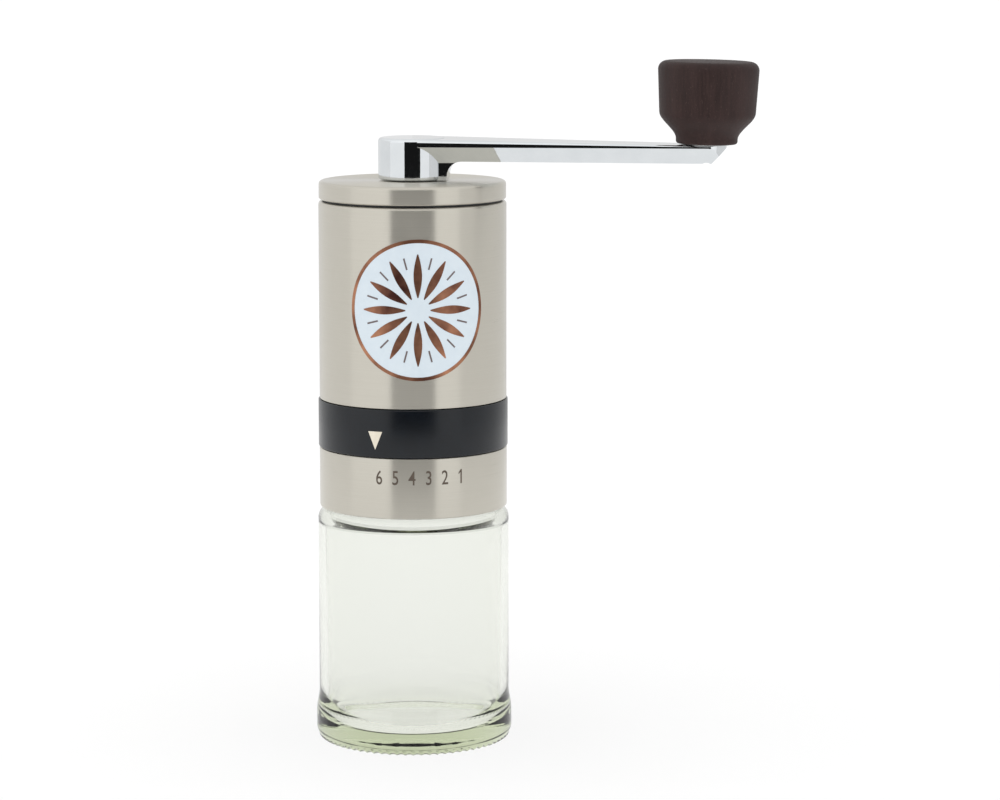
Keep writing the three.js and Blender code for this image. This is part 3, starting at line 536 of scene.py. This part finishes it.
side = [(0, hub_foot), (hub_radius + 0.4, hub_foot)]
side += arc(hub_radius + 0.6 + fillet, arm_foot - fillet, fillet, 180, 90, 12)
side += [(tip - 4.1, arm_foot - 0.4), (tip + 0.2, band_foot), (tip + 0.2, hub_top + 1), (0, hub_top + 1)]
crank = plate("crank", side, 22, -11)
for vertex in crank.data.vertices:
    x, y, z = vertex.co
    vertex.co = (x, -z, y)
half_section = [(keel, hub_foot - 1), (keel, arm_foot - 0.4), (arm_root, band_foot)]
half_section += arc(arm_root - top_round, arm_start - top_round, top_round, 0, 90, 6)
bar = plate("bar", half_section + [(-x, y) for x, y in reversed(half_section)], tip + 2, -1)
for vertex in bar.data.vertices:
    x, y, z = vertex.co
    narrowed = 1 - (1 - arm_end / arm_root) * z / (arm_reach * mm)
    if y > band_foot * mm - 1e-6:
        foot_here = band_foot * mm - band_fall * mm * z / (tip * mm)
        top_here = arm_start * mm - slope * z
        y = foot_here + (y - band_foot * mm) * (top_here - foot_here) / ((arm_start - band_foot) * mm)
    vertex.co = (z, x * narrowed, y)
plan = [(-1, -11), (arm_reach, -11), *arc(arm_reach, 0, arm_end, -90, 90, 32), (arm_reach, 11), (-1, 11)]
cut(crank, bar, "INTERSECT")
cut(crank, plate("plan", plan, 20, 152), "INTERSECT")
hub = [(0, hub_foot), (hub_radius - 0.4, hub_foot), (hub_radius, hub_foot + 0.4)]
hub += [*arc(hub_radius - 1, hub_top - 1, 1, 0, 90, 6), (0, hub_top)]
cut(crank, turned("hub", hub, 96), "UNION")
socket = [(3.8 * cos(radians(60 * i)), 3.8 * sin(radians(60 * i))) for i in range(6)]
cut(crank, plate("socket", socket, 9, hub_foot - 1), "DIFFERENCE")
axle_hole = turned("axle_hole", [(0, -8), (3.5, -8), (3.5, -1.5), (3.05, -1.5), (3.05, 3), (0, 3)], 48)
for vertex in axle_hole.data.vertices:
    vertex.co = at_knob(vertex.co)
cut(crank, axle_hole, "DIFFERENCE")
clean(crank, 0.01 * mm)
eased(crank, 0.25, 3, 24)

chrome, chrome_shader = finish("chrome_plate", Metallic=1)
orange_peel = noise(chrome, place(chrome), 420, 2)
fingermarks = noise(chrome, place(chrome), 190, 4)
wire(chrome, blended(chrome, fingermarks, (0.66, 0.69, 0.71), (0.76, 0.785, 0.80)), chrome_shader, "Base Color")
wire(chrome, ranged(chrome, fingermarks, 0.025, 0.10, 0.4, 0.8), chrome_shader, "Roughness")
wire(chrome, bumped(chrome, orange_peel, 0.012, 0.6), chrome_shader, "Normal")
fitted(crank, "crank", chrome, "crank_arm", slot="chrome", angle=38)
# the broad flat faces keep their own normals, so that the polished arm reflects without ripples
modified(crank, "WEIGHTED_NORMAL", weight=100, keep_sharp=True)

# Emblem: a round printed sticker bent round the shell, white with a copper foil edge. It carries a plain pattern,
# a large rosette of twelve narrow petals with a short grey stroke between each two.
emblem_low, emblem_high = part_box("emblem_sticker")
emblem_radius = (emblem_high[2] - emblem_low[2]) / 2 / mm
emblem_height = (emblem_high[2] + emblem_low[2]) / 2 / mm
emblem_turn = radians(-81.3)
emblem_base = shell_radius + 0.02
face_top = 0.06
petal_count = 12
edge_inner = 18.25
petal_span = (3.4, 15.2)
stroke_span = (11.4, 14.6)
steps = [emblem_radius * i / 18 for i in range(18)]
face_outline = [(reach, 0) for reach in steps] + [(emblem_radius - 0.05, 0), (emblem_radius - 0.05, face_top)]
face_outline += [(reach, face_top) for reach in reversed(steps)]
gloss_paper = tinted("gloss_paper", (0.66, 0.735, 0.79), (0.62, 0.70, 0.765), 0.4, 8000, 0.002)
copper_foil = tinted("copper_foil", (0.46, 0.22, 0.13), (0.085, 0.032, 0.026), 0.38, 2600, 0.003, Metallic=1)
grey_print = tinted("grey_print", (0.16, 0.125, 0.125), (0.12, 0.09, 0.09), 0.5, 7000, 0.002)


def on_emblem(piece, material, *nodes):
    wrapped(piece, emblem_base, emblem_turn, emblem_height)
    return fitted(piece, "housing", material, *nodes, slot="sticker")


def hoop(name, inner, outer, top):
    outline = [(inner, 0), (outer, 0), (outer, top - 0.02), (outer - 0.03, top), (inner + 0.03, top)]
    return turned(name, outline + [(inner, top - 0.02), (inner, 0)])


def leaves(name, start, end, width, count, pointed):
    """Flat leaves or strokes in a ring: one is shaped from a grid, and the others are copies spun round."""
    bpy.ops.object.select_all(action="DESELECT")
    bpy.ops.mesh.primitive_grid_add(x_subdivisions=4, y_subdivisions=12, size=1)
    piece = bpy.context.object
    piece.name = name
    for vertex in piece.data.vertices:
        along = vertex.co.y + 0.5
        swell = sin(pi * (0.04 + 0.92 * along)) if pointed else 1
        distance = start + (end - start) * along
        vertex.co = (vertex.co.x * width * swell * mm, distance * mm, (face_top + 0.01) * mm)
    modified(piece, "SOLIDIFY", thickness=0.03 * mm, offset=1)
    bpy.ops.object.mode_set(mode="EDIT")
    bpy.ops.mesh.select_all(action="SELECT")
    bpy.ops.mesh.spin(steps=count - 1, dupli=True, angle=2 * pi * (count - 1) / count, center=(0, 0, 0),
                      axis=(0, 0, 1))
    bpy.ops.object.mode_set(mode="OBJECT")
    return clean(piece)


def turned_by(piece, angle):
    choose(piece)
    piece.rotation_euler.z = angle
    bpy.ops.object.transform_apply(location=False, rotation=True, scale=False)
    return piece


on_emblem(turned("emblem_face", face_outline, 120), gloss_paper, "emblem_sticker")
on_emblem(hoop("emblem_edge", edge_inner, emblem_radius, 0.12), copper_foil)
strokes = leaves("emblem_strokes", *stroke_span, 0.45, petal_count, False)
on_emblem(turned_by(strokes, pi / petal_count), grey_print)
on_emblem(leaves("emblem_petals", *petal_span, 2.3, petal_count, True), copper_foil)


# Frame and other mouldings: black glass-filled nylon, moulded, with softened edges and a fine satin grain. The
# collar is screwed under the frame, the cam ring turns on it, and the lid's insert is bonded in the lid.
def part(cad_node, body, material, slot, width=0.12, angle=30):
    """A copy of a CAD node with its faces joined up, its edges eased and its round faces smooth."""
    piece = bpy.data.objects.new(cad_node + "_made", frame["nodes"][cad_node].data.copy())
    bpy.context.collection.objects.link(piece)
    choose(piece)
    clean(piece, 0.001 * mm)
    bpy.ops.object.mode_set(mode="EDIT")
    bpy.ops.mesh.select_all(action="SELECT")
    bpy.ops.mesh.dissolve_limited(angle_limit=radians(0.5))
    bpy.ops.object.mode_set(mode="OBJECT")
    if width:
        eased(piece, width, 2, angle)
    return fitted(piece, body, material, cad_node, slot=slot)


nylon = tinted("black_nylon", (0.024, 0.025, 0.028), (0.015, 0.016, 0.018), 0.52, 5200, 0.008)
for cad_node in ("main_frame", "shaft_guide", "jar_collar"):
    part(cad_node, "housing", nylon, "black_plastic")
for cad_node in ("burr_carrier", "burr_retainer"):
    part(cad_node, "burr_carriage", nylon, "black_plastic")
part("cam_ring", "adjuster", nylon, "black_plastic", 0.08)
part("lid_insert", "lid", nylon, "black_plastic")
part("burr_core", "drive", nylon, "black_plastic")

# Jar seal: a soft moulded silicone ring under the collar's flange, squeezed by the jar's rim. It goes down with the
# jar.
milky_silicone = tinted("milky_silicone", (0.62, 0.62, 0.60), (0.54, 0.54, 0.52), 0.6, 3000, 0.006,
                        Subsurface_Weight=0.3, Subsurface_Scale=2 * mm)
part("jar_seal", "jar_seal", milky_silicone, "silicone", 0.3)

# Shaft, axle and small steel parts: turned or stamped from plain steel, lightly oiled. The shaft runs in two bronze
# bushes, and a nut holds the burr on its foot.
plain_steel = tinted("plain_steel", (0.56, 0.555, 0.55), (0.44, 0.435, 0.43), 0.34, 4200, 0.003, Metallic=1)
for cad_node in ("drive_shaft", "shaft_clip", "thrust_washer", "burr_washer", "burr_nut"):
    part(cad_node, "drive", plain_steel, "steel", 0.08)
part("burr_spring", "drive", plain_steel, "steel", 0, 60)
for cad_node in ("knob_spindle", "knob_washer", "knob_clip"):
    part(cad_node, "crank", plain_steel, "steel", 0.06)
for i in (1, 2, 3):
    part(f"collar_screw_{i}", "housing", plain_steel, "steel", 0.05)
    part(f"carrier_pin_{i}", "burr_carriage", plain_steel, "steel", 0.08)
part("detent_ball", "housing", plain_steel, "steel", 0)
part("detent_spring", "housing", plain_steel, "steel", 0)

# Bushes: sintered bronze, pressed in the frame and in the shaft guide, porous and soaked with oil.
sintered_bronze = tinted("sintered_bronze", (0.52, 0.34, 0.15), (0.34, 0.21, 0.085), 0.44, 9000, 0.012, Metallic=1)
part("upper_bush", "housing", sintered_bronze, "bronze", 0.1)
part("lower_bush", "housing", sintered_bronze, "bronze", 0.1)

# Burrs: pressed and fired ceramic, off-white and matt, with worn tips. The cone burr turns with the shaft, and the
# ring burr is held in its carrier.
fired_ceramic = tinted("fired_ceramic", (0.80, 0.77, 0.70), (0.70, 0.665, 0.59), 0.55, 3600, 0.02)
part("inner_burr", "drive", fired_ceramic, "ceramic", 0.1, 40)
part("outer_burr", "burr_carriage", fired_ceramic, "ceramic", 0.1, 40)
